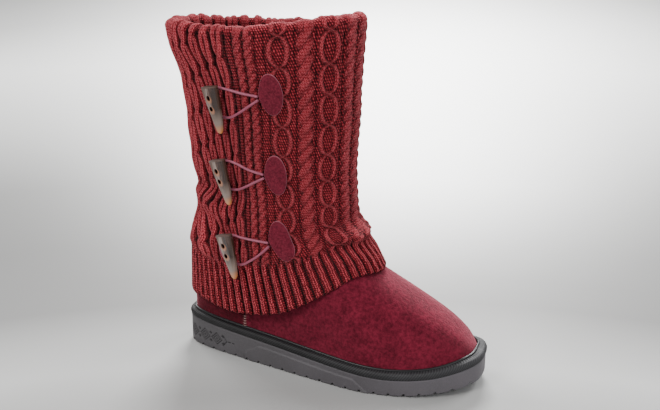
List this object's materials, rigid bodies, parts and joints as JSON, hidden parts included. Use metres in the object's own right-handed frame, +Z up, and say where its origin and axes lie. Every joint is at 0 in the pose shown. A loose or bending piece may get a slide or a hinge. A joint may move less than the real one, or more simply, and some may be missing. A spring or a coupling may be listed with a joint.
{
  "type": "knit-sleeve boot",
  "caption": "Mid-calf slip-on boot with a suede foot, a thick rubber sole and a cable-knit sleeve closed on its outer side by horn toggles and cord loops.",
  "frame": {"origin": "on the floor under the middle of the heel, at the centre of the heel's flat tread", "axes": "+X towards the toe, -Y to the wearer's outer side with the toggles, +Z up the shaft"},
  "size_m": [0.2962, 0.1252, 0.3186],
  "materials": {
    "suede": "napped wine-red suede",
    "knit": "chunky marled wool knit",
    "cord": "round waxed cord",
    "horn": "polished imitation horn",
    "rand": "fine diagonal ribs",
    "sole": "matt moulded foam rubber",
    "lining": "short plush pile"
  },
  "bodies": {
    "root": {"outsole": "sole", "rand": "rand", "insole": "lining", "upper": "suede", "shaft": "lining", "knit_sleeve": "knit", "patch_1": "suede", "cord_loop_1": "cord", "toggle_1": "horn", "patch_2": "suede", "cord_loop_2": "cord", "toggle_2": "horn", "patch_3": "suede", "cord_loop_3": "cord", "toggle_3": "horn"}
  },
  "joints": []
}
